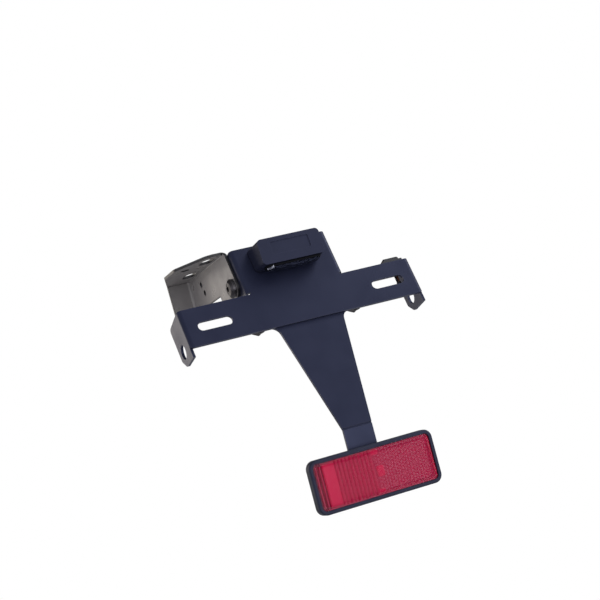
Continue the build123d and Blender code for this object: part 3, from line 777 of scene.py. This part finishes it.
        # Painted highlights along the lens's bevel.
        self._plates("bevel_painted_highlights", self.bevel_painted_highlights, -self.backing / 2, self.plain_rise, pale)
        keep(rib_row().piece("lens_flutes", self._floor(area.left + self.flute_pitch / 2, 0.0), {
            "Pitch": self.flute_pitch * MM, "Radius": self.flute_share * self.flute_pitch * MM / 2,
            "Count": int((area.right - area.left) / self.flute_pitch),
            "Length": (area.high - area.low) * MM, "Rise": self.flute_rise * MM,
            "Material": wardrobe.get(RED_FLUTES),
        }))
        area = self.corners
        place = self._floor((area.left + area.right) / 2, (area.low + area.high) / 2)
        keep(self._cube_tree().piece("corner_facets", place, {
            "Pitch": self.corner_pitch * MM, "Radius": self.corner_share * self.corner_pitch * MM,
            "Columns": int((area.right - area.left) / self.corner_pitch),
            "Rows": int((area.high - area.low) / self.corner_pitch), "Rise": self.corner_rise * MM,
            "Material": pale,
        }))


@dataclass(frozen=True)
class Wall:
    """One side of the studio, as the object sees it."""

    colour: str
    strength: float


@dataclass
class Studio:
    """Pale floor, soft light and the photograph's camera. Lengths in metres."""

    eye: tuple[float, float, float] = (-0.416806, -0.975215, -0.125163)
    turn: tuple[float, float, float, float] = (0.6251076, 0.7465723, -0.0436763, -0.2235235)
    lens_mm: float = 90.0
    sensor_mm: float = 36.0
    floor_level: float = -0.45
    floor_radius: float = 1.5
    back: Wall = Wall("#fffaf4", 0.15)
    left: Wall = Wall("#f2f0f6", 1.6)
    right: Wall = Wall("#f6f6fa", 1.25)
    above: Wall = Wall("#f0f2fa", 0.48)

    def camera(self) -> None:
        """Set the camera where the photograph was taken from."""
        data = bpy.data.cameras.new("photo_camera")
        data.lens, data.sensor_width = self.lens_mm, self.sensor_mm
        data.clip_start, data.clip_end = 0.01, 50.0
        camera = bpy.data.objects.new("photo_camera", data)
        camera.rotation_mode = "QUATERNION"
        camera.location, camera.rotation_quaternion = self.eye, Quaternion(self.turn)
        bpy.context.scene.collection.objects.link(camera)
        bpy.context.scene.camera = camera

    def floor(self) -> None:
        """Lay a plain pale floor well below the object."""
        count = 96
        ring = [(self.floor_radius * math.cos(a), self.floor_radius * math.sin(a), self.floor_level)
                for a in (2 * math.pi * n / count for n in range(count))]
        mesh = bpy.data.meshes.new("floor")
        mesh.from_pydata(ring, [], [tuple(range(count))])
        mesh.materials.append(Finish("pale_floor", "#f7f7f7", "#f4f4f4", 0.9).material())
        piece = bpy.data.objects.new("floor", mesh)
        bpy.context.scene.collection.objects.link(piece)

    def world(self) -> None:
        """Light the room: white paper to the eye, and walls of their own colour to the object."""
        world = bpy.data.worlds.new("studio")
        bpy.context.scene.world = world
        world.use_nodes = True
        tree = world.node_tree
        tree.nodes.clear()
        place = add_node(tree, "ShaderNodeTexCoord")
        split = add_node(tree, "ShaderNodeSeparateXYZ", links={0: place.outputs["Generated"]})

        def lit(wall: Wall) -> bpy.types.NodeSocket:
            """Background of one wall."""
            return add_node(tree, "ShaderNodeBackground",
                            {"Color": linear(wall.colour), "Strength": wall.strength}).outputs[0]

        def blend(axis: str, start: float, end: float, first: bpy.types.NodeSocket,
                  second: bpy.types.NodeSocket) -> bpy.types.NodeSocket:
            """Run from one wall into the next along an axis of the view direction."""
            part = add_node(tree, "ShaderNodeMapRange", {"From Min": start, "From Max": end},
                            {"Value": split.outputs[axis]}, interpolation_type="SMOOTHSTEP")
            return add_node(tree, "ShaderNodeMixShader",
                            links={0: part.outputs[0], 1: first, 2: second}).outputs[0]

        right = blend("Z", 0.2, 0.8, lit(self.right), lit(self.above))
        left = blend("Z", 0.1, 0.5, lit(self.left), lit(self.above))
        front = blend("X", -0.8, 0.0, left, right)
        room = blend("Y", -0.1, 0.5, front, lit(self.back))
        ray = add_node(tree, "ShaderNodeLightPath")
        both = add_node(tree, "ShaderNodeMixShader",
                        links={0: ray.outputs["Is Camera Ray"], 1: room, 2: lit(Wall("#ffffff", 1.0))})
        add_node(tree, "ShaderNodeOutputWorld", links={"Surface": both.outputs[0]})

    def lamp(self, name: str, spot: tuple[float, float, float], size: float, power: float, colour: str) -> None:
        """Hang one square softbox that faces the object.

        Args:
            name: Name of the light.
            spot: Its place in the row frame.
            size: Side of its square.
            power: Watts.
            colour: Its sRGB hex colour.
        """
        data = bpy.data.lights.new(name, "AREA")
        data.shape, data.size, data.energy = "SQUARE", size, power
        data.color = linear(colour)[:3]
        light = bpy.data.objects.new(name, data)
        light.location = spot
        light.rotation_mode = "QUATERNION"
        light.rotation_quaternion = (-Vector(spot)).to_track_quat("-Z", "Y")
        light.visible_camera = False
        bpy.context.scene.collection.objects.link(light)

    def build(self) -> None:
        """Set up everything that isn't the object."""
        bpy.context.scene.view_settings.view_transform = "Standard"
        self.camera()
        self.floor()
        self.world()
        self.lamp("key_softbox", (0.9, -0.3, 0.9), 0.6, 5.0, "#f6f6ff")
        self.lamp("front_softbox", (0.47, -1.12, -0.15), 0.5, 1.6, "#f6f6ff")
        self.lamp("back_softbox", (-0.34, 0.47, 0.06), 0.36, 0.66, "#fff6ec")


def main() -> None:
    """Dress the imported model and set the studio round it."""
    logging.basicConfig(level=logging.INFO, format="%(name)s: %(message)s")
    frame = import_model()
    nodes = frame["nodes"]
    wardrobe = Wardrobe()
    plate = PlateFrame()
    detailed = (Fasteners(plate), PlateLamp(plate), Reflector(plate))
    for part in (SheetWork(), LampLead(), *detailed):
        part.dress(nodes, wardrobe)
    for part in detailed:
        part.build(wardrobe)
    Studio().build()


if __name__ == "__main__":
    main()
